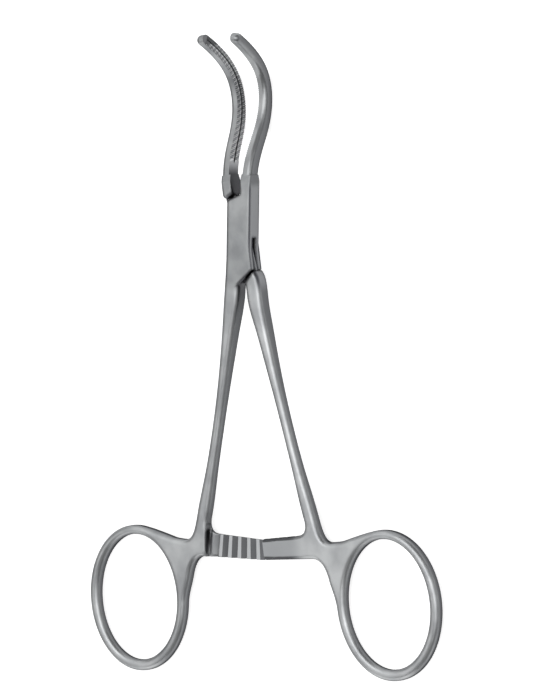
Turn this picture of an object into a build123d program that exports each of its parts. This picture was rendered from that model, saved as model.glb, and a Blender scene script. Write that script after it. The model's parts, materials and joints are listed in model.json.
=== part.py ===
from build123d import *
import os
from math import asin, atan, cos, degrees, radians, sin, sqrt, tan

# Vascular clamp, 160 mm long: two steel forgings that cross in a box lock, and the pin they turn on.
# Each forging is drawn as it lies when the jaws are shut, in the frame of the pivot:
# the pivot axis is Z, the jaw tips point along +Y, the jaws meet on the plane X = 0 and the front is +Z.
# The box half has its handle at -X and its jaw at +X, the tongue half the other way round.
# Handles and jaws are drawn once, at +X, and mirrored for the other forging.
# The forgings are then opened to the resting position and laid down on their rings and jaws.

# Resting position and travel, in degrees
half_opening = 5.0          # each half, from shut jaws to the resting position
full_opening = 45.0         # between the halves, from shut jaws to the stop in the slot

# Box lock
box_width = 7.2
box_thickness = 4.0
box_swell = 0.6             # how much further out the box stands on its handle's side
box_flare = 0.85            # how much wider the other side grows, down to the handle-side shoulder
box_flare_start = 2.5       # pivot to where it begins to
box_reach = 14.4            # pivot to where the flat of the box begins to slope down to the jaw
box_slope = 1.6             # length of that slope
box_slope_drop = 0.45
upper_shoulder_side = 9.3   # jaw-side shoulder, where it meets the side of the box
upper_shoulder_middle = 10.9
lower_shoulder_side = 8.2   # handle-side shoulder, where it meets the side of the box
lower_shoulder_middle = 11.35
shoulder_clearance = 0.2
handle_shoulder = 3.7       # meeting plane to the outer side of the tongue half's handle, at its shoulder
tongue_thickness = 1.1
tongue_half_width = 2.3
tongue_jaw_lean = 13.0      # lean of the tongue edge that stops the closing, in degrees
tongue_back_lean = 6.5      # lean of the tongue edge that stops the opening, in degrees
tongue_root = 1.2           # how far the tongue runs into the thick part of its half
slot_clearance = 0.05       # above and below the tongue
stop_clearance = 0.2        # between the tongue's edges and the ends of the slot
pin_diameter = 2.4
pin_clearance = 0.05        # round the pin, in the tongue only
box_edge_radius = 0.45
shank_gap = 0.24            # meeting plane to each shank's inner edge beside the box
face_gap_box = 0.3          # meeting plane to each half's flat beside the jaws

# Jaws: their middle line in the Y-Z plane, from inside the box to the middle of the round tip
jaw_line_points = [
    (12.5, -0.05),
    (16.0, -0.22),
    (21.5, -1.9),
    (27.5, -4.7),
    (34.3, -6.15),
    (41.0, -4.65),
    (46.2, -0.15),
    (49.7, 4.9),
]
jaw_root_width = 3.6
jaw_tip_width = 2.55
jaw_root_back = 3.5         # meeting plane to the jaw's back, at the start of the line
jaw_tip_back = 2.55
jaw_back_radius = 1.2
jaw_root_side = 3.7         # meeting plane to the outer side of the thick root
jaw_root_radius = 1.0       # of its outer edges
jaw_steps = 12              # places where the jaw's width is measured off along its line
face_gap_root = 0.9         # the tips meet first, so the faces stand apart towards the box
face_gap_tip = 0.06

# Serrations of the jaw faces
serration_pitch = 0.53
serration_depth = 0.2
serration_flat = 0.12       # flat crest between two cuts
serration_near_end = 7.55   # along the middle line, from its start to the cut nearest the box
serration_tip_margin = 0.3  # from the cut nearest the tip to the middle of the round tip
groove_width = 0.68
groove_depth = 0.32
groove_run_out = 1.4        # pointed end of the groove beyond the last cut

# Shanks: a gentle curve from the box to the web
shank_start_inset = 1.03    # side of the box to the middle of the shank, where it starts
shank_start_drop = 16.0
shank_start_lean = 7.2
shank_end = (10.97, -69.0)
shank_end_lean = 11.3
shank_box_width = 4.5
shank_narrow_width = 2.6
shank_web_width = 3.6
handle_edge_radius = 1.05

# Finger rings
ring_center = (32.66, -93.3)
ring_hole_across = 26.4
ring_hole_along = 32.0
ring_bar = 2.8
ring_top_bar = 2.25         # where the ring is thinnest, at its top
ring_lean = 1.8             # the ring's top leans outwards, in degrees

# Web between the shank, the ratchet bar and the ring, placed from the middle of the ring
notch_place = (-15.4, 16.3)
web_top_place = (-11.2, 16.5)
web_side_place = (-17.4, 6.8)

# Ratchet bars
bar_top = 74.6              # pivot to the bar's upper edge
bar_bottom = 79.55          # pivot to the bar's lower edge, at its end
bar_root_drop = 1.1         # how much lower the lower edge is at the web
bar_step = 9.9              # meeting plane to the step where the bar becomes half as thick
rear_bar_reach = 8.2        # bar of the box half, beyond the meeting plane
front_bar_reach = 4.2       # bar of the tongue half, beyond the meeting plane
bar_gap = 0.14              # between the tooth crests of the two bars
ratchet_pitch = 2.25        # in degrees about the pivot
ratchet_depth = 0.7
ratchet_crest = 1.1         # width of a tooth's flat crest
ratchet_steep = 0.3         # width of a tooth's steep side
ratchet_play = 0.1          # between the steep sides of two teeth that stand against each other
ratchet_first = 8.8         # meeting plane to the middle of the rear bar's crest nearest the web
rear_teeth = 6
front_teeth = 4
shut_click = 5              # tooth spaces between the two first crests when the jaws are shut

# Thickness of the handles
shank_thickness = 2.7
web_thickness = 3.0
ring_thickness = 2.6

box_side = box_width / 2
box_face = box_thickness / 2
handle_side = box_side + box_swell
flared_side = box_side + box_flare
box_end = box_reach + box_slope
pin_radius = pin_diameter / 2
shank_start = (box_side - shank_start_inset, -shank_start_drop)
shank_pull = (shank_start[1] - shank_end[1]) / 3
shank_start_way = (tan(radians(shank_start_lean)), -1)
shank_end_way = (tan(radians(shank_end_lean)), -1)
ring_across = ring_hole_across / 2 + ring_bar
ring_along = ring_hole_along / 2 + ring_bar
bar_blank_reach = rear_bar_reach + 2
bar_middle = (bar_top + bar_bottom) / 2
jaw_line_start = jaw_line_points[0]
jaw_line_end = jaw_line_points[-1]
beyond_tip = jaw_line_end[0] + jaw_tip_width
beyond_ring = ring_center[1] - ring_along - 5
beyond_part = ring_center[0] + ring_across + 10


def opposite(point):
    """Turn a point of the X-Y plane half a turn about the pivot."""
    return (-point[0], -point[1])


def by_ring(place):
    """Place a point given from the middle of the ring."""
    return (ring_center[0] + place[0], ring_center[1] + place[1])


def upper_shoulder(x, clearance=0.0):
    """Give the height of the box half's jaw-side shoulder at -x, or of what faces it at a clearance."""
    slope = (upper_shoulder_middle - upper_shoulder_side) / box_side
    return upper_shoulder_middle - slope * x + clearance * sqrt(1 + slope**2)


def lower_shoulder(x, clearance=0.0):
    """Give the height of the box half's handle-side shoulder at +x, or of what faces it at a clearance."""
    slope = (lower_shoulder_middle - lower_shoulder_side) / box_side
    return slope * x - lower_shoulder_middle - clearance * sqrt(1 + slope**2)


def meeting_point(point_a, way_a, point_b, way_b):
    """Give the point where two lines of the X-Y plane cross, each given by a point and a direction."""
    across = way_a[0] * way_b[1] - way_a[1] * way_b[0]
    gap = (point_b[0] - point_a[0], point_b[1] - point_a[1])
    share = (gap[0] * way_b[1] - gap[1] * way_b[0]) / across
    return (point_a[0] + share * way_a[0], point_a[1] + share * way_a[1])


def shank_edges(share):
    """Give the points of the shank's inner and outer edge, at a share of its way from box to web."""
    line = Bezier(
        shank_start,
        (shank_start[0] + shank_pull * shank_start_way[0], shank_start[1] - shank_pull),
        (shank_end[0] - shank_pull * shank_end_way[0], shank_end[1] + shank_pull),
        shank_end,
        mode=Mode.PRIVATE,
    )
    along = line % share
    swell_at_box = (shank_box_width - shank_narrow_width) * (1 - share) ** 4
    swell_at_web = (shank_web_width - shank_narrow_width) * share**5
    half_width = (shank_narrow_width + swell_at_box + swell_at_web) / 2
    outward = Vector(-along.Y, along.X) * half_width
    return line @ share - outward, line @ share + outward


def draw_handle_edge(outer_start, outer_way, inner_start):
    """Draw a handle's edge at +X: down its outer side, round the ring and the bar, up its inner side."""
    shares = [0.0, 0.12, 0.25, 0.42, 0.62, 0.82, 1.0]
    inner = [shank_edges(share)[0] for share in shares]
    outer = [shank_edges(share)[1] for share in shares]
    Spline(outer_start, *outer, tangents=[outer_way, shank_end_way])
    thinning = (ring_bar - ring_top_bar) / 2
    outer_center = (ring_center[0], ring_center[1] - thinning)
    ring = EllipticalCenterArc(
        outer_center, ring_across, ring_along - thinning, -178, arc_size=275, rotation=-ring_lean
    )
    notch = by_ring(notch_place)
    web_top = by_ring(web_top_place)
    Spline(outer[-1], notch, web_top, ring @ 1, tangents=[shank_end_way, (1, 0), (1, 0.2), (ring % 1) * -1])
    web_side = by_ring(web_side_place)
    bar_root = (bar_step + 0.7, -bar_bottom - bar_root_drop)
    Spline(ring @ 0, web_side, tangents=[(ring % 0) * -1, (-0.2, 1)])
    Bezier(web_side, (web_side[0] - 0.9, bar_root[1] - 0.2), bar_root)
    bar_low_end = (-bar_blank_reach, -bar_bottom)
    bar_top_end = (-bar_blank_reach, -bar_top)
    bar_top_root = (inner[-1].X - 2.6, -bar_top)
    Polyline(bar_root, bar_low_end, bar_top_end, bar_top_root)
    inner_corner = inner[-1] + Vector(*shank_end_way) * 2
    Bezier(bar_top_root, (inner_corner.X + 0.4, -bar_top), inner_corner)
    Line(inner_corner, inner[-1])
    Spline(*reversed([inner_start] + inner), tangents=[Vector(*shank_end_way) * -1, (0, 1)])


def draw_side_view():
    """Draw half of a forging's side view, from the ring to the slope beside the jaw."""
    ring_level = (ring_center[1] - ring_along / 2, ring_thickness / 2)
    web_level = (-bar_middle, web_thickness / 2)
    shank_level = ((shank_start[1] + shank_end[1]) / 2, shank_thickness / 2)
    box_level = (shank_start[1] + 2, box_face)
    level = (1, 0)
    Polyline((beyond_ring, 0), (beyond_ring, ring_thickness / 2), ring_level)
    Spline(ring_level, web_level, tangents=[level, level])
    Spline(web_level, shank_level, box_level, tangents=[level, level])
    slope_end = (box_end, box_face - box_slope_drop)
    Polyline(box_level, (box_reach, box_face), slope_end, (box_end, 0), (beyond_ring, 0))


def side_block():
    """Make the block of a forging's side view, as wide as the whole clamp."""
    with BuildPart() as block:
        with BuildSketch(Plane.YZ):
            with BuildLine():
                draw_side_view()
            make_face()
            mirror(about=Plane.XZ)
        extrude(amount=beyond_part, both=True)
    return block.part


def rim_edges(part):
    """Give the sharp edges between a part's front or back and its upright sides."""
    flats = [face for face in part.faces() if abs(face.normal_at().Z) > 0.9]
    walls = [face for face in part.faces() if abs(face.normal_at().Z) < 0.1]
    wall_edges = [edge for wall in walls for edge in wall.edges()]
    return [edge for flat in flats for edge in flat.edges() if edge in wall_edges]


def handle_body(outer_way, head):
    """Make a handle at +X, with rounded edges and with the head it carries beside the box.

    outer_way is the direction in which the handle's outer edge leaves the head, and head holds the
    corners of the head, from the start of the handle's inner edge to the start of its outer edge.
    """
    with BuildPart() as body:
        with BuildSketch():
            with BuildLine():
                draw_handle_edge(head[-1], outer_way, head[0])
                Polyline(*head)
            make_face()
            with Locations(ring_center):
                Ellipse(ring_hole_across / 2, ring_hole_along / 2, rotation=-ring_lean, mode=Mode.SUBTRACT)
        extrude(amount=box_thickness, both=True)
        add(side_block(), mode=Mode.INTERSECT)
        rims = rim_edges(body.part)
        curved = [edge for edge in rims if edge.geom_type != GeomType.LINE or edge.center().Y < shank_end[1]]
        fillet(curved, handle_edge_radius)
    return body.part


def bar_cutter(face_side):
    """Make the body that takes off half of a bar's thickness and cuts its ratchet teeth.

    face_side is +1 for teeth on the front of the bar and -1 for teeth on its back. Each tooth slopes
    gently towards the end of the bar and stands steep towards the web.
    """
    crest_level = -face_side * bar_gap / 2
    first = asin(ratchet_first / bar_middle)
    teeth = rear_teeth
    reach = rear_bar_reach
    if face_side < 0:
        stand_off = (ratchet_crest + ratchet_play) / bar_middle
        first = radians(shut_click * ratchet_pitch) - first - stand_off
        teeth = front_teeth
        reach = front_bar_reach
    pitch = radians(ratchet_pitch)
    crest_end = ratchet_crest / 2
    gullet_end = pitch * bar_middle - crest_end
    bar_height = bar_bottom + bar_root_drop - bar_top
    with BuildPart() as cutter:
        with BuildSketch(Plane.XY.offset(crest_level)):
            with Locations((0, -bar_middle)):
                Rectangle(2 * beyond_part, 2 * bar_height)
        extrude(amount=face_side * web_thickness)
        for tooth in range(-1, teeth):
            angle = first - tooth * pitch
            across_bar = Plane(
                origin=(bar_top * sin(angle) * 0.97, -bar_top * cos(angle) * 0.97, crest_level),
                x_dir=(-cos(angle), -sin(angle), 0),
                z_dir=(sin(angle), -cos(angle), 0),
            )
            with BuildSketch(across_bar):
                with BuildLine():
                    Polyline(
                        (crest_end, 0),
                        (gullet_end - ratchet_steep, face_side * ratchet_depth),
                        (gullet_end, 0),
                        (gullet_end, -face_side * crest_end),
                        (crest_end, -face_side * crest_end),
                        close=True,
                    )
                make_face()
            extrude(amount=2 * bar_height)
        with BuildSketch():
            with Locations((-reach, -bar_middle)):
                Rectangle(beyond_part, 2 * bar_height, align=(Align.MAX, Align.CENTER))
        extrude(amount=box_thickness, both=True)
        with BuildSketch():
            with Locations((bar_step, -bar_middle)):
                Rectangle(bar_step + bar_blank_reach + 1, 1.6 * bar_height, align=(Align.MAX, Align.CENTER))
        extrude(amount=box_thickness, both=True, mode=Mode.INTERSECT)
    return cutter.part


def tongue_outline():
    """Give the corners of the tongue, with the edge that stops the closing first."""
    jaw_lean = tan(radians(tongue_jaw_lean))
    back_lean = tan(radians(tongue_back_lean))
    waist = (tongue_half_width, 0)
    inner_height = upper_shoulder(face_gap_box) + tongue_root
    inner_root = (tongue_half_width - inner_height * jaw_lean, inner_height)
    outer_height = upper_shoulder(box_side) + tongue_root
    outer_root = (-tongue_half_width - outer_height * back_lean, outer_height)
    return [waist, inner_root, outer_root, opposite(waist), opposite(inner_root), opposite(outer_root)]


def slot_outline():
    """Give the corners of the slot, whose ends stop the tongue when shut and when fully open."""
    closing_way = (-sin(radians(tongue_jaw_lean)), cos(radians(tongue_jaw_lean)))
    closing_edge = (tongue_half_width + stop_clearance / closing_way[1], 0)
    opened = radians(full_opening)
    opening_lean = radians(full_opening + tongue_back_lean)
    opening_way = (sin(opening_lean), -cos(opening_lean))
    opening_edge = (
        tongue_half_width * cos(opened) + stop_clearance * cos(opening_lean),
        tongue_half_width * sin(opened) + stop_clearance * sin(opening_lean),
    )
    corner = meeting_point(closing_edge, closing_way, opening_edge, opening_way)
    top = meeting_point(closing_edge, closing_way, (0, box_reach), (1, 0))
    side = meeting_point(opening_edge, opening_way, (box_width, 0), (0, 1))
    end = (box_width, -box_reach)
    return [top, corner, side, end, opposite(top), opposite(corner), opposite(side), opposite(end)]


def jaw_root_body():
    """Make the thick root of the tongue half's jaw, at -X."""
    inner = (-face_gap_box, upper_shoulder(face_gap_box, shoulder_clearance))
    outer = (-jaw_root_side, upper_shoulder(jaw_root_side, shoulder_clearance))
    with BuildPart() as root:
        with BuildSketch() as outline:
            with BuildLine():
                Polyline(inner, outer, (-jaw_root_side, box_end), (-face_gap_box, box_end), close=True)
            make_face()
            fillet(outline.vertices().sort_by(Axis.Y)[0], jaw_root_radius * 1.2)
        extrude(amount=box_thickness, both=True)
        add(side_block(), mode=Mode.INTERSECT)
        rims = rim_edges(root.part)
        back_rims = [edge for edge in rims if abs(edge.center().X + jaw_root_side) < 0.01]
        fillet(back_rims, jaw_root_radius)
    return root.part


def face_level(y):
    """Give the distance of the jaw's face from the meeting plane."""
    share = (y - jaw_line_start[0]) / (beyond_tip - jaw_line_start[0])
    return face_gap_root + (face_gap_tip - face_gap_root) * share


def beside_line(line, share, distance):
    """Give the point at a distance above a jaw's middle line, or below it, in the axes of a Y-Z sketch."""
    point = line @ share
    along = line % share
    return (point.Y - distance * along.Z, point.Z + distance * along.Y)


def plan_body(inner_set_back, root_back, tip_back):
    """Make the body between the jaw's face, set back by a distance, and a back, over the jaw's length."""
    with BuildPart() as body:
        with BuildSketch():
            with BuildLine():
                Polyline(
                    (inner_set_back + face_gap_root, jaw_line_start[0]),
                    (root_back, jaw_line_start[0]),
                    (tip_back, beyond_tip),
                    (inner_set_back + face_gap_tip, beyond_tip),
                    close=True,
                )
            make_face()
        extrude(amount=beyond_tip, both=True)
    return body.part


def blade_body(line):
    """Make a jaw at +X without its serrations, from inside the box to its round tip."""
    with BuildPart() as blade:
        with BuildSketch(Plane.YZ):
            with BuildLine():
                shares = [step / jaw_steps for step in range(jaw_steps + 1)]
                half_widths = [(jaw_root_width + (jaw_tip_width - jaw_root_width) * share) / 2 for share in shares]
                upper = Spline(*[beside_line(line, *place) for place in zip(shares, half_widths)])
                lower = Spline(*[beside_line(line, share, -half) for share, half in zip(shares, half_widths)])
                Line(upper @ 0, lower @ 0)
                tip = line @ 1 + (line % 1) * (jaw_tip_width / 2)
                ThreePointArc(upper @ 1, (tip.Y, tip.Z), lower @ 1)
            make_face()
        extrude(amount=box_width)
        add(plan_body(0, jaw_root_back, jaw_tip_back), mode=Mode.INTERSECT)
        back = blade.faces().sort_by(lambda face: face.normal_at().X)[-1]
        fillet([edge for edge in back.edges() if edge.center().Y > jaw_line_start[0] + 0.1], jaw_back_radius)
    return blade.part


def groove_body(line, first, last):
    """Make the body of the groove along the middle of a jaw's face, between two shares of its length."""
    with BuildPart() as groove:
        with BuildSketch(Plane.YZ):
            with BuildLine():
                shares = [first + (last - first) * step / jaw_steps for step in range(jaw_steps + 1)]
                upper = Spline(*[beside_line(line, share, groove_width / 2) for share in shares])
                lower = Spline(*[beside_line(line, share, -groove_width / 2) for share in shares])
                point = beside_line(line, first - groove_run_out / line.length, 0)
                Polyline(upper @ 0, point, lower @ 0)
                Line(upper @ 1, lower @ 1)
            make_face()
        extrude(amount=box_width)
        add(plan_body(-box_width, face_gap_root + groove_depth, face_gap_tip + groove_depth), mode=Mode.INTERSECT)
    return groove.part


def jaw_body():
    """Make the serrated jaw at +X."""
    with BuildLine(Plane.YZ) as middle:
        Spline(*jaw_line_points)
    line = middle.edges()[0]
    first = serration_near_end / line.length
    step = serration_pitch / line.length
    cuts = int((1 - first - serration_tip_margin / line.length) / step) + 1
    across_jaw = []
    for cut in range(cuts):
        point = line @ (first + cut * step)
        along = line % (first + cut * step)
        across_jaw.append(
            Plane(
                origin=(face_level(point.Y), point.Y, point.Z),
                x_dir=(0, along.Y, along.Z),
                z_dir=(0, -along.Z, along.Y),
            )
        )
    clear = serration_depth / 10
    half = (serration_pitch - serration_flat) / 2 * (1 + clear / serration_depth)
    with BuildPart() as jaw:
        add(blade_body(line))
        add(groove_body(line, first, first + (cuts - 1) * step), mode=Mode.SUBTRACT)
        with BuildSketch(*across_jaw):
            with BuildLine():
                Polyline((-half, clear), (0, -serration_depth), (half, clear), close=True)
            make_face()
        extrude(amount=jaw_root_width * 0.6, both=True, mode=Mode.SUBTRACT)
    return jaw.part


jaw = jaw_body()

box_head = [
    (0, -lower_shoulder_middle),
    (-flared_side, lower_shoulder(flared_side)),
    (-box_side, -box_flare_start),
    (-box_side, box_end),
    (-face_gap_box, box_end),
    (-face_gap_box, upper_shoulder(-face_gap_box)),
    (handle_side, upper_shoulder(handle_side)),
    (handle_side, -box_side),
]
with BuildPart() as box_blank:
    add(handle_body((0, -1), box_head))
    fillet([edge for edge in rim_edges(box_blank.part) if edge.center().Y > 0], box_edge_radius)

with BuildPart() as box_forging:
    mirror(box_blank.part, about=Plane.YZ)
    add(jaw)
    mirror(bar_cutter(1), about=Plane.YZ, mode=Mode.SUBTRACT)
    with BuildSketch():
        with BuildLine():
            Polyline(*slot_outline(), close=True)
        make_face()
    extrude(amount=tongue_thickness / 2 + slot_clearance, both=True, mode=Mode.SUBTRACT)
    Cylinder(pin_radius, box_thickness * 2, mode=Mode.SUBTRACT)

tongue_head = [
    (shank_gap, lower_shoulder(shank_gap, shoulder_clearance)),
    (handle_shoulder, lower_shoulder(handle_shoulder, shoulder_clearance)),
]
with BuildPart() as tongue_forging:
    add(handle_body((0.9, -1), tongue_head))
    add(jaw_root_body())
    mirror(jaw, about=Plane.YZ)
    with BuildSketch():
        with BuildLine():
            Polyline(*tongue_outline(), close=True)
        make_face()
    extrude(amount=tongue_thickness / 2, both=True)
    add(bar_cutter(-1), mode=Mode.SUBTRACT)
    Cylinder(pin_radius + pin_clearance, box_thickness * 2, mode=Mode.SUBTRACT)

with BuildPart() as pin_blank:
    Cylinder(pin_radius, box_thickness)

# Lying down, the clamp touches the floor with the far ends of its rings and with the bends of its jaws
jaw_bend = min(jaw_line_points, key=lambda point: point[1])
ring_turn = radians(half_opening - ring_lean)
ring_middle = (
    ring_center[0] * cos(radians(half_opening)) - ring_center[1] * sin(radians(half_opening)),
    ring_center[0] * sin(radians(half_opening)) + ring_center[1] * cos(radians(half_opening)),
)
ring_contact = ring_middle[1] - sqrt((ring_across * sin(ring_turn)) ** 2 + (ring_along * cos(ring_turn)) ** 2)
jaw_half_width = (jaw_root_width + jaw_tip_width) / 4
drop = -jaw_bend[1] + jaw_half_width - ring_thickness / 2
lying_tilt = degrees(atan(drop / (jaw_bend[0] - ring_contact - handle_edge_radius)))
lying = Location((0, 0, 0), (lying_tilt, 0, 0))
forgings = [
    lying * Location((0, 0, 0), (0, 0, -half_opening)) * box_forging.part,
    lying * Location((0, 0, 0), (0, 0, half_opening)) * tongue_forging.part,
]
low = [min(tuple(forging.bounding_box().min)[axis] for forging in forgings) for axis in range(3)]
high = [max(tuple(forging.bounding_box().max)[axis] for forging in forgings) for axis in range(3)]
shift = Location((-(low[0] + high[0]) / 2, -(low[1] + high[1]) / 2, -low[2]))

with BuildPart() as box_half:
    with Locations(shift * lying * Location((0, 0, 0), (0, 0, -half_opening))):
        add(box_forging.part)
box_half.part.label = "box_half"

with BuildPart() as tongue_half:
    with Locations(shift * lying * Location((0, 0, 0), (0, 0, half_opening))):
        add(tongue_forging.part)
tongue_half.part.label = "tongue_half"

with BuildPart() as pivot_pin:
    with Locations(shift * lying):
        add(pin_blank.part)
pivot_pin.part.label = "pivot_pin"

os.makedirs("parts", exist_ok=True)
export_step(box_half.part, "parts/box_half.step")
export_step(tongue_half.part, "parts/tongue_half.step")
export_step(pivot_pin.part, "parts/pivot_pin.step")
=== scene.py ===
import json
import logging
from dataclasses import dataclass
from enum import Enum
from math import atan, cos, radians, sin, tau

import bpy
from mathutils import Matrix, Vector

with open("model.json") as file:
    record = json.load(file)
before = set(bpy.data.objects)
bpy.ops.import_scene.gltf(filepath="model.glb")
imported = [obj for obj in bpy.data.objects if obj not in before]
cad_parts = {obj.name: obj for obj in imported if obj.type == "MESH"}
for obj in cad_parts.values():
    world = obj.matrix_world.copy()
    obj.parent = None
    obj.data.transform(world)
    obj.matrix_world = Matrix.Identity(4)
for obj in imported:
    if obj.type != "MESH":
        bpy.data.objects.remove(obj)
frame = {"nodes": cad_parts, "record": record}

# Looks of a vascular clamp that lies open on a pale floor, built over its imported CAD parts.
# Everything is in metres, in the frame of the CAD, which is called the row frame here: the clamp
# lies in it on its rings and jaws and leans a little. The clamp's own drawing frame has its origin
# on the pivot, Z along the pivot pin and Y towards the jaw tips.

Tree = bpy.types.NodeTree
Socket = bpy.types.NodeSocket
Span = tuple[float, float]

LOG = logging.getLogger("clamp")
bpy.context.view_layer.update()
MM = 0.001


class Piece(Enum):
    """The pieces of the clamp, by node name."""

    BOX_HALF = "box_half"
    TONGUE_HALF = "tongue_half"
    PIVOT_PIN = "pivot_pin"


def linear(colour: str) -> tuple[float, float, float, float]:
    """Turn an sRGB hex colour into linear RGBA.

    Args:
        colour: six hex digits after a hash.

    Returns:
        The linear red, green and blue values and an alpha of 1.
    """
    digits = colour.lstrip("#")
    values = [int(digits[start:start + 2], 16) / 255 for start in (0, 2, 4)]
    curved = [
        value / 12.92 if value <= 0.04045 else ((value + 0.055) / 1.055) ** 2.4 for value in values
    ]
    return (*curved, 1.0)


def add_node(tree: Tree, kind: str, settings: dict | None = None, **links) -> bpy.types.Node:
    """Add a shader node with its settings and its inputs.

    Args:
        tree: the node tree that gets the node.
        kind: the node's type name.
        settings: attributes of the node itself, by name.
        **links: what goes into each input, an output socket of another node or a constant. An
            input goes by its name, with underscores for spaces, or by in_ and its number where
            several inputs share a name.

    Returns:
        The new node.
    """
    node = tree.nodes.new(kind)
    for name, value in (settings or {}).items():
        setattr(node, name, value)
    for name, value in links.items():
        by_number = name.startswith("in_")
        socket = node.inputs[int(name[3:]) if by_number else name.replace("_", " ")]
        if isinstance(value, Socket):
            tree.links.new(value, socket)
        else:
            socket.default_value = value
    return node


@dataclass(frozen=True)
class Satin:
    """Satin stainless steel: ground along its length with a fine belt, then bead blasted.

    The eye gets an even grey sheen that spreads a soft light into broad bands, faint lines of the
    belt along the handles, slow cloudiness where the hand finishing varied and soft edges on the
    handles. Light and shade are also painted into the colour: painted shade on the narrow sides,
    the box's edges and the jaws' backs and roots, painted shade in recesses and cuts where walls
    or the floor stand near, painted highlight on the ratchet's crests and on the handles, and
    bands of painted highlight and shade along the jaws' inner faces for their cuts. Places along
    and across the clamp are measured from the pivot, in the row frame.
    """

    name: str
    pivot: Vector
    axis: Vector
    # 1 where the milled face of the piece's jaw looks along X, -1 against it, 0 without a jaw.
    inward: float = 0.0

    # The ground faces, each with the darker tone of its clouds. The handles' tones are lighter
    # than the box's: painted light on the same steel.
    colour: str = "#a5a7a8"
    shade: str = "#8d8f91"
    lit_handle_colour: str = "#b7b9ba"
    lit_handle_shade: str = "#a1a3a5"
    # The narrow sides, the ratchet, the box's rim, the jaws and the recesses, with light and shade
    # painted into them: shaded sides, edges, jaw backs and roots, highlighted tooth crests over
    # shaded slopes, bands of painted highlight and shade for the jaws' cuts, and painted shade in
    # recesses.
    # The plain inside of the jaws and the tint of grazing reflections are the steel's own.
    shaded_handle_side: str = "#636466"
    tooth_crest_highlight: str = "#a4a6a8"
    shaded_tooth_slope: str = "#5a5b5d"
    shaded_box_side: str = "#808183"
    shaded_box_edge: str = "#595a5e"
    shaded_jaw_back: str = "#67686a"
    shaded_jaw_root: str = "#4b4c4e"
    plain_inside: str = "#98999b"
    milled_highlight: str = "#c4c5c6"
    cut_shade: str = "#8f9093"
    painted_recess_shade: str = "#4a4a4c"
    edge_tint: str = "#7d7d7d"

    # The sheen, and the clouds that vary it. Hand finishing leaves clouds some 7 mm across.
    roughness: float = 0.33
    roughness_spread: float = 0.08
    cloud: float = 7.0 * MM
    cloud_detail: float = 3.0
    # The lines of a fine belt are a few hundredths of a millimetre apart, too fine to show, so
    # they are drawn several times as coarse.
    belt_line: float = 0.16 * MM
    belt_stroke: float = 5.0 * MM
    belt_depth: float = 0.0025 * MM
    belt_detail: float = 2.0
    # How far the polishing rounded the edges.
    box_softness: float = 1.1 * MM
    handle_softness: float = 1.3 * MM
    softness_samples: int = 8
    # Where painted shade begins to darken recesses and cuts, by how near the walls around them
    # are.
    recess_reach: float = 5.0 * MM
    cut_reach: float = 0.35 * MM
    reach_samples: int = 12

    # Places on the clamp where one look gives way to the next, and how long the change is.
    blend: float = 2.0 * MM
    handle_start: float = -10.0 * MM
    handle_blend: float = 4.0 * MM
    ratchet_top: float = -70.0 * MM
    ratchet_side: float = 11.0 * MM
    ratchet_side_blend: float = 6.0 * MM
    pin_reach: float = 2.0 * MM
    pin_blend: float = 0.2 * MM
    root_start: float = 7.0 * MM
    root_end: float = 15.5 * MM
    jaw_start: float = 12.0 * MM
    cuts_start: float = 19.2 * MM
    cuts_end: float = 48.4 * MM
    cut_blend: float = 0.5 * MM
    # The painted bands of light and shade along the cuts: their spacing and the way that they
    # follow each other.
    cut_band_pitch: float = 1.06 * MM
    cut_way: tuple[float, float, float] = (0.0, 0.9, 0.45)

    # From where to where a measure of the surface takes a tone from none to all. They read the
    # clouds, the painted bands of the cuts, how open the surface is, for painted shade in
    # recesses, and how squarely it faces, for painted light and shade: along the pin for flat
    # faces, across the clamp for the sides and the insides of the jaws.
    sheen_span: Span = (0.3, 0.7)
    cloud_span: Span = (0.35, 0.65)
    cut_band_span: Span = (-0.6, 0.6)
    jaw_front_span: Span = (0.97, 0.5)
    inner_span: Span = (0.55, 0.8)
    crest_span: Span = (0.95, 0.99)
    handle_face_span: Span = (0.15, 0.9)
    off_side_span: Span = (0.1, 0.35)
    box_face_span: Span = (0.75, 0.99)
    open_span: Span = (0.12, 0.9)
    uncut_span: Span = (0.3, 0.9)
    least_in_cut: float = 0.6

    def build(self) -> bpy.types.Material:
        """Make the material.

        Returns:
            The finished material, with all its patterns scaled from real sizes.
        """
        material = bpy.data.materials.new(self.name)
        material.use_nodes = True
        tree = material.node_tree
        tree.nodes.clear()
        place = add_node(tree, "ShaderNodeTexCoord").outputs["Object"]
        zones = self.zones(tree, place)
        soft = self.soft_normal(tree, zones)
        cloud = add_node(
            tree,
            "ShaderNodeTexNoise",
            Vector=place,
            Scale=1 / self.cloud,
            Detail=self.cloud_detail,
        ).outputs["Fac"]
        rough = add_node(
            tree,
            "ShaderNodeMapRange",
            Value=cloud,
            From_Min=self.sheen_span[0],
            From_Max=self.sheen_span[1],
            To_Min=self.roughness - self.roughness_spread / 2,
            To_Max=self.roughness + self.roughness_spread / 2,
        )
        stroke = add_node(
            tree,
            "ShaderNodeMapping",
            Vector=place,
            Scale=(1 / self.belt_line, 1 / self.belt_stroke, 1 / self.belt_line),
        )
        belt = add_node(
            tree,
            "ShaderNodeTexNoise",
            Vector=stroke.outputs[0],
            Scale=1.0,
            Detail=self.belt_detail,
        )
        bump = add_node(
            tree,
            "ShaderNodeBump",
            Height=belt.outputs["Fac"],
            Strength=1.0,
            Distance=self.belt_depth,
            Normal=soft,
        )
        shader = add_node(
            tree,
            "ShaderNodeBsdfPrincipled",
            Base_Color=self.tone(tree, zones, soft, cloud, self.cut_light_bands(tree, place)),
            Metallic=1.0,
            Roughness=rough.outputs["Result"],
            Specular_Tint=linear(self.edge_tint),
            Normal=bump.outputs["Normal"],
        )
        add_node(tree, "ShaderNodeOutputMaterial", Surface=shader.outputs["BSDF"])
        return material

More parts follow.
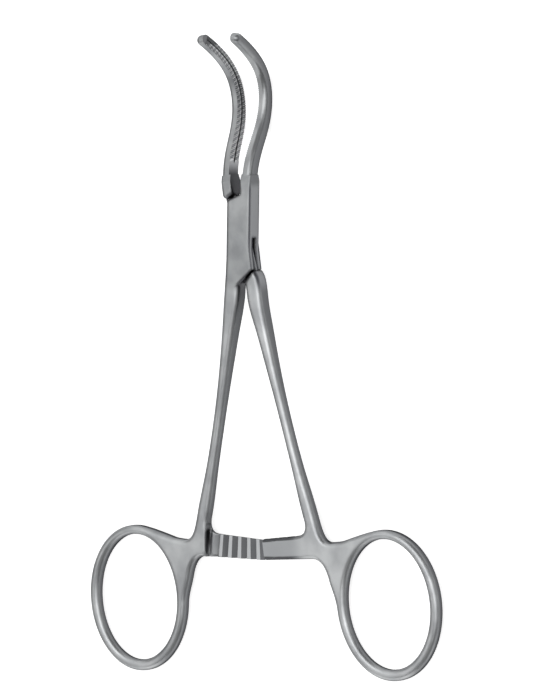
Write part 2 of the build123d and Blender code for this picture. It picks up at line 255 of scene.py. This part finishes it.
    def zones(self, tree: Tree, place: Socket) -> dict[str, Socket]:
        """Tell the clamp's regions apart by their place.

        Args:
            tree: the material's node tree.
            place: the place on the clamp, in the row frame.

        Returns:
            Masks by name, each 1 where its name is true, with a smooth way to 0.
        """
        from_pivot = add_node(
            tree,
            "ShaderNodeVectorMath",
            {"operation": "SUBTRACT"},
            in_0=place,
            in_1=tuple(self.pivot),
        )
        axes = add_node(tree, "ShaderNodeSeparateXYZ", Vector=from_pivot.outputs[0])
        across, along = axes.outputs["X"], axes.outputs["Y"]
        aside = add_node(
            tree, "ShaderNodeMath", {"operation": "ABSOLUTE"}, in_0=across
        ).outputs[0]
        level = add_node(tree, "ShaderNodeCombineXYZ", X=across, Y=along)
        from_pin = add_node(
            tree, "ShaderNodeVectorMath", {"operation": "LENGTH"}, in_0=level.outputs[0]
        ).outputs["Value"]
        half_cut = self.cut_blend / 2
        spans = {
            "handle": (along, self.handle_start, self.handle_start - self.handle_blend),
            "behind_jaws": (along, self.jaw_start + self.blend, self.jaw_start),
            "beside_teeth": (
                aside,
                self.ratchet_side,
                self.ratchet_side + self.ratchet_side_blend,
            ),
            "root": (along, self.root_start, self.root_start + self.blend),
            "past_root": (along, self.root_end, self.cuts_start),
            "cuts": (along, self.cuts_start - half_cut, self.cuts_start + half_cut),
            "before_tip": (along, self.cuts_end, self.cuts_end - self.cut_blend),
            "above_teeth": (along, self.ratchet_top, self.ratchet_top + self.blend),
            "around_pin": (from_pin, self.pin_reach, self.pin_reach + self.pin_blend),
        }
        masks = {}
        for name, (distance, start, end) in spans.items():
            mask = add_node(
                tree,
                "ShaderNodeMapRange",
                {"interpolation_type": "SMOOTHSTEP"},
                Value=distance,
                From_Min=start,
                From_Max=end,
            )
            masks[name] = mask.outputs["Result"]
        clear = add_node(
            tree,
            "ShaderNodeMath",
            {"operation": "MAXIMUM"},
            in_0=masks["beside_teeth"],
            in_1=masks["above_teeth"],
        )
        return {**masks, "clear_of_teeth": clear.outputs[0]}

    def soft_normal(self, tree: Tree, zones: dict[str, Socket]) -> Socket:
        """Round the edges as far as the polishing did.

        The handles were polished most. The box has crisper edges, and the ratchet, the jaws and
        the seam around the pin keep sharp ones.

        Args:
            tree: the material's node tree.
            zones: the masks of the clamp's regions.

        Returns:
            The normal of the surface with its edges rounded.
        """
        radius = add_node(
            tree,
            "ShaderNodeMix",
            Factor=zones["handle"],
            A=self.box_softness,
            B=self.handle_softness,
        ).outputs["Result"]
        for zone in ("behind_jaws", "clear_of_teeth", "around_pin"):
            radius = add_node(
                tree, "ShaderNodeMath", {"operation": "MULTIPLY"}, in_0=radius, in_1=zones[zone]
            ).outputs[0]
        bevel = add_node(
            tree, "ShaderNodeBevel", {"samples": self.softness_samples}, Radius=radius
        )
        return bevel.outputs["Normal"]

    def cut_light_bands(self, tree: Tree, place: Socket) -> Socket:
        """Paint the light and shade of the jaws' cuts as bands.

        The cuts are half a millimetre apart, which is too fine to show in the picture, so bands
        twice as coarse as the cuts stand for them, painted highlight and painted shade in turn.

        Args:
            tree: the material's node tree.
            place: the place on the clamp, in the row frame.

        Returns:
            The bands across the jaws, from -1 to 1.
        """
        phase = add_node(
            tree,
            "ShaderNodeVectorMath",
            {"operation": "DOT_PRODUCT"},
            in_0=place,
            in_1=tuple(tau / self.cut_band_pitch * part for part in self.cut_way),
        )
        bands = add_node(
            tree, "ShaderNodeMath", {"operation": "SINE"}, in_0=phase.outputs["Value"]
        )
        return bands.outputs[0]

    def tone(
        self,
        tree: Tree,
        zones: dict[str, Socket],
        normal: Socket,
        cloud: Socket,
        cut_light_bands: Socket,
    ) -> Socket:
        """Colour the steel: clouded faces, with painted light and shade on sides, edges and
        recesses.

        Args:
            tree: the material's node tree.
            zones: the masks of the clamp's regions.
            normal: the normal of the surface with its edges rounded.
            cloud: the slow noise of the hand finishing.
            cut_light_bands: the painted bands of light and shade along the jaws' cuts.

        Returns:
            The base colour.
        """
        facing = add_node(
            tree,
            "ShaderNodeVectorMath",
            {"operation": "DOT_PRODUCT"},
            in_0=normal,
            in_1=tuple(self.axis),
        )
        flat = add_node(
            tree, "ShaderNodeMath", {"operation": "ABSOLUTE"}, in_0=facing.outputs["Value"]
        ).outputs[0]
        # Painted shade: darker where walls stand near, in recesses and in the cuts, and near the
        # floor.
        shelter = add_node(
            tree,
            "ShaderNodeAmbientOcclusion",
            {"samples": self.reach_samples},
            Distance=self.recess_reach,
        )
        cut = add_node(
            tree,
            "ShaderNodeAmbientOcclusion",
            {"samples": self.reach_samples, "only_local": True},
            Distance=self.cut_reach,
        )
        across = add_node(tree, "ShaderNodeSeparateXYZ", Vector=normal).outputs["X"]
        side = add_node(
            tree, "ShaderNodeMath", {"operation": "ABSOLUTE"}, in_0=across
        ).outputs[0]
        inner = add_node(
            tree, "ShaderNodeMath", {"operation": "MULTIPLY"}, in_0=across, in_1=self.inward
        ).outputs[0]
        for zone in ("root", "before_tip"):
            inner = add_node(
                tree, "ShaderNodeMath", {"operation": "MULTIPLY"}, in_0=inner, in_1=zones[zone]
            ).outputs[0]
        steps = {
            "cloud": (cloud, self.cloud_span, 0.0),
            "cut_shade": (cut_light_bands, self.cut_band_span, 0.0),
            "jaw_front": (side, self.jaw_front_span, 0.0),
            "inner": (inner, self.inner_span, 0.0),
            "crest": (flat, self.crest_span, 0.0),
            "handle_face": (flat, self.handle_face_span, 0.0),
            "off_side": (flat, self.off_side_span, 0.0),
            "box_face": (flat, self.box_face_span, 0.0),
            "open": (shelter.outputs["AO"], self.open_span, 0.0),
            "uncut": (cut.outputs["AO"], self.uncut_span, self.least_in_cut),
        }
        amount = {}
        for name, (value, (start, end), least) in steps.items():
            step = add_node(
                tree,
                "ShaderNodeMapRange",
                Value=value,
                From_Min=start,
                From_Max=end,
                To_Min=least,
            )
            amount[name] = step.outputs["Result"]
        out_of_shade = add_node(
            tree,
            "ShaderNodeMath",
            {"operation": "MULTIPLY"},
            in_0=amount["open"],
            in_1=amount["uncut"],
        )
        # Each layer mixes its two tones, colours or earlier layers, by its amount.
        layers = {
            "clouded": (amount["cloud"], self.colour, self.shade),
            # Painted shade on the jaws' backs, where they face across the clamp.
            "jaw": (amount["jaw_front"], self.shaded_jaw_back, "clouded"),
            # Painted highlight and painted shade in bands along the cuts.
            "banded_cuts": (amount["cut_shade"], self.cut_shade, self.milled_highlight),
            "face": (zones["cuts"], self.plain_inside, "banded_cuts"),
            # Painted shade on the jaws' inner faces near their roots, between the halves.
            "inside": (zones["past_root"], self.shaded_jaw_root, "face"),
            # Painted shade on the box's sides and on the edges that lead to them.
            "box_rim": (amount["off_side"], self.shaded_box_side, self.shaded_box_edge),
            "box": (amount["box_face"], "box_rim", "clouded"),
            # The handles' tones, lighter than the box's: painted light.
            "lit_handle_clouded": (amount["cloud"], self.lit_handle_colour, self.lit_handle_shade),
            # Painted highlight on the teeth's crests and painted shade on their slopes.
            "teeth": (amount["crest"], self.shaded_tooth_slope, self.tooth_crest_highlight),
            # Painted shade on the handles' narrow sides.
            "bars": (amount["handle_face"], self.shaded_handle_side, "lit_handle_clouded"),
            "handle": (zones["clear_of_teeth"], "teeth", "bars"),
            "back": (zones["handle"], "box", "handle"),
            "outside": (zones["behind_jaws"], "jaw", "back"),
            "whole": (amount["inner"], "outside", "inside"),
            # Painted shade in recesses and cuts.
            "shaded_recesses": (out_of_shade.outputs[0], self.painted_recess_shade, "whole"),
        }
        mixed: dict[str, Socket] = {}
        for name, (factor, *tones) in layers.items():
            low, high = (mixed[tone] if tone in mixed else linear(tone) for tone in tones)
            mix = add_node(
                tree, "ShaderNodeMix", {"data_type": "RGBA"}, in_0=factor, in_6=low, in_7=high
            )
            mixed[name] = mix.outputs[2]
        return mixed["shaded_recesses"]


@dataclass(frozen=True)
class PaleGround:
    """Matt white paper: white to the camera and in reflections, and it keeps the soft shadow."""

    name: str = "matt_white_paper"
    colour: str = "#dcdcdc"
    glow_colour: str = "#ffffff"
    glow: float = 0.78
    roughness: float = 0.9

    def build(self) -> bpy.types.Material:
        """Make the material.

        Returns:
            A diffuse white with a glow that only cameras and mirrors see.
        """
        material = bpy.data.materials.new(self.name)
        material.use_nodes = True
        tree = material.node_tree
        tree.nodes.clear()
        ray = add_node(tree, "ShaderNodeLightPath")
        seen = ray.outputs["Is Camera Ray"]
        for kind in ("Is Glossy Ray", "Is Transmission Ray"):
            seen = add_node(
                tree, "ShaderNodeMath", {"operation": "MAXIMUM"}, in_0=seen, in_1=ray.outputs[kind]
            ).outputs[0]
        strength = add_node(
            tree, "ShaderNodeMath", {"operation": "MULTIPLY"}, in_0=seen, in_1=self.glow
        )
        shader = add_node(
            tree,
            "ShaderNodeBsdfPrincipled",
            Base_Color=linear(self.colour),
            Roughness=self.roughness,
            Emission_Color=linear(self.glow_colour),
            Emission_Strength=strength.outputs[0],
        )
        add_node(tree, "ShaderNodeOutputMaterial", Surface=shader.outputs["BSDF"])
        return material


@dataclass(frozen=True)
class Clamp:
    """The clamp's own frame: where its pivot is and how it leans as it lies."""

    pivot: Vector
    axis: Vector

    @classmethod
    def from_record(cls, record: dict) -> "Clamp":
        """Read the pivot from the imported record's hinge.

        Args:
            record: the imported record.

        Returns:
            The clamp with its pivot and axis.
        """
        hinge = record["behaviour"]["joints"][0]
        return cls(Vector(hinge["pos_m"]), Vector(hinge["axis"]).normalized())

    def to_row(self, direction: Vector) -> Vector:
        """Turn a direction of the drawing frame into the row frame.

        Args:
            direction: a direction with Z along the pivot axis and Y towards the jaw tips.

        Returns:
            The same direction in the row frame.
        """
        across = Vector((1, 0, 0))
        along = self.axis.cross(across)
        return across * direction.x + along * direction.y + self.axis * direction.z

    def finishes(self) -> dict[Piece, Satin]:
        """Choose the finish of each piece.

        Returns:
            The finishes by piece. Both forgings and the pin are stainless steel. The tongue
            half's handle is drawn a little brighter, a painted highlight, the bar that shows its
            teeth gets brighter crests, also a painted highlight, and the pin was ground flush
            across its end, with shorter strokes.
        """
        return {
            Piece.BOX_HALF: Satin(
                "satin_steel_box_half",
                self.pivot,
                self.axis,
                inward=-1.0,
                # Brighter crests: a painted highlight.
                tooth_crest_highlight="#bcbec0",
            ),
            Piece.TONGUE_HALF: Satin(
                "satin_steel_tongue_half",
                self.pivot,
                self.axis,
                inward=1.0,
                # A brighter handle: a painted highlight.
                lit_handle_colour="#c0c2c3",
                lit_handle_shade="#a9abad",
            ),
            Piece.PIVOT_PIN: Satin(
                "ground_pin_steel",
                self.pivot,
                self.axis,
                colour="#a1a3a5",
                shade="#8e9092",
                belt_stroke=3.0 * MM,
            ),
        }

    def dress(self, nodes: dict[str, bpy.types.Object]) -> None:
        """Give every CAD node its material.

        Args:
            nodes: the CAD nodes by name.
        """
        for piece, finish in self.finishes().items():
            node = nodes[piece.value]
            node.data.materials.clear()
            node.data.materials.append(finish.build())
            LOG.info("%s gets %s", piece.value, finish.name)


@dataclass(frozen=True)
class PhotoCamera:
    """The camera of the photograph: from the clamp's front, turned to its right side.

    Angles are in degrees in the clamp's drawing frame, the lean is a slope in the picture, sizes
    are in metres and picture sizes in pixels.
    """

    turn: float = 40.56
    lift: float = 1.74
    lean: float = -0.0520
    distance: float = 1.323
    per_pixel: float = 0.24765 * MM
    picture_width: int = 550
    picture_height: int = 688
    pivot_across: float = 243.05
    pivot_down: float = 238.25
    sensor: float = 36.0
    nearest: float = 0.01
    farthest: float = 20.0

    def build(self, clamp: Clamp) -> None:
        """Make the camera and set it as the scene's.

        Args:
            clamp: the clamp, for its pivot and axis.
        """
        turn, lift = radians(self.turn), radians(self.lift)
        towards = Vector((sin(turn) * cos(lift), sin(lift), cos(turn) * cos(lift)))
        tips = Vector((0, 1, 0))
        rise = (tips - towards * tips.dot(towards)).normalized()
        side = rise.cross(towards)
        roll = atan(self.lean)
        up = clamp.to_row(rise * cos(roll) - side * sin(roll))
        back = clamp.to_row(towards)
        right = up.cross(back)
        # The pivot isn't in the picture's middle, so the camera looks past it, without a shift.
        focal = self.distance / self.per_pixel
        sight = (
            right * (self.picture_width / 2 - self.pivot_across)
            - up * (self.picture_height / 2 - self.pivot_down)
            - back * focal
        ).normalized()
        level = (up - sight * up.dot(sight)).normalized()
        across = sight.cross(level)
        turned = Matrix((across, level, -sight)).transposed().to_4x4()
        data = bpy.data.cameras.new("photo_camera")
        data.sensor_fit = "HORIZONTAL"
        data.sensor_width = self.sensor
        data.lens = focal * self.sensor / self.picture_width
        data.clip_start = self.nearest
        data.clip_end = self.farthest
        camera = bpy.data.objects.new("photo_camera", data)
        camera.matrix_world = Matrix.Translation(clamp.pivot + back * self.distance) @ turned
        bpy.context.scene.collection.objects.link(camera)
        bpy.context.scene.camera = camera


@dataclass(frozen=True)
class SoftLight:
    """One large soft lamp that looks at the clamp, in metres and watts."""

    name: str
    place: tuple[float, float, float]
    width: float
    height: float
    power: float

    def build(self, target: Vector) -> None:
        """Make the lamp.

        Args:
            target: the point that it looks at, and that its place is measured from.
        """
        data = bpy.data.lights.new(self.name, "AREA")
        data.shape = "RECTANGLE"
        data.size = self.width
        data.size_y = self.height
        data.energy = self.power
        lamp = bpy.data.objects.new(self.name, data)
        lamp.location = target + Vector(self.place)
        lamp.rotation_euler = (target - lamp.location).to_track_quat("-Z", "Y").to_euler()
        bpy.context.scene.collection.objects.link(lamp)


@dataclass(frozen=True)
class Studio:
    """A pale floor with a low backdrop at its rim, a plain world and soft lamps."""

    floor_size: float = 6.0
    backdrop_height: float = 0.6
    world_colour: str = "#ffffff"
    world_strength: float = 0.25
    lamps: tuple[SoftLight, ...] = (
        SoftLight("left_strip", (-0.95, 0.1, 1.11), width=2.0, height=0.7, power=3.6),
        SoftLight("top_strip", (0.05, 0.1, 1.46), width=1.8, height=1.0, power=9.6),
        SoftLight("right_fill", (1.1, 0.1, 0.95), width=1.6, height=0.7, power=2.9),
        SoftLight("front_low", (-0.7, -1.2, 0.5), width=1.4, height=0.6, power=3.2),
        SoftLight("back_low", (-0.7, 1.2, 0.65), width=1.4, height=0.6, power=2.6),
    )

    def build(self, target: Vector) -> None:
        """Make the floor, the world and the lamps.

        Args:
            target: the point that the lamps look at.
        """
        self.lay_floor()
        world = bpy.data.worlds.new("plain_world")
        world.use_nodes = True
        back = world.node_tree.nodes["Background"]
        back.inputs["Color"].default_value = linear(self.world_colour)
        back.inputs["Strength"].default_value = self.world_strength
        bpy.context.scene.world = world
        for lamp in self.lamps:
            lamp.build(target)

    def lay_floor(self) -> None:
        """Make the floor and its backdrop, one white tray."""
        half = self.floor_size / 2
        rim = [(-half, -half), (half, -half), (half, half), (-half, half)]
        points = [(*corner, height) for height in (0.0, self.backdrop_height) for corner in rim]
        count = len(rim)
        walls = []
        for start in range(count):
            end = (start + 1) % count
            walls.append((start, end, end + count, start + count))
        mesh = bpy.data.meshes.new("floor")
        mesh.from_pydata(points, [], [tuple(range(count)), *walls])
        floor = bpy.data.objects.new("floor", mesh)
        floor.data.materials.append(PaleGround().build())
        bpy.context.scene.collection.objects.link(floor)


def main() -> None:
    """Dress the clamp, light it and place the camera."""
    logging.basicConfig(level=logging.INFO)
    clamp = Clamp.from_record(frame["record"])
    clamp.dress(frame["nodes"])
    Studio().build(clamp.pivot)
    PhotoCamera().build(clamp)
    scene = bpy.context.scene
    scene.view_settings.view_transform = "Standard"


if __name__ == "__main__":
    main()
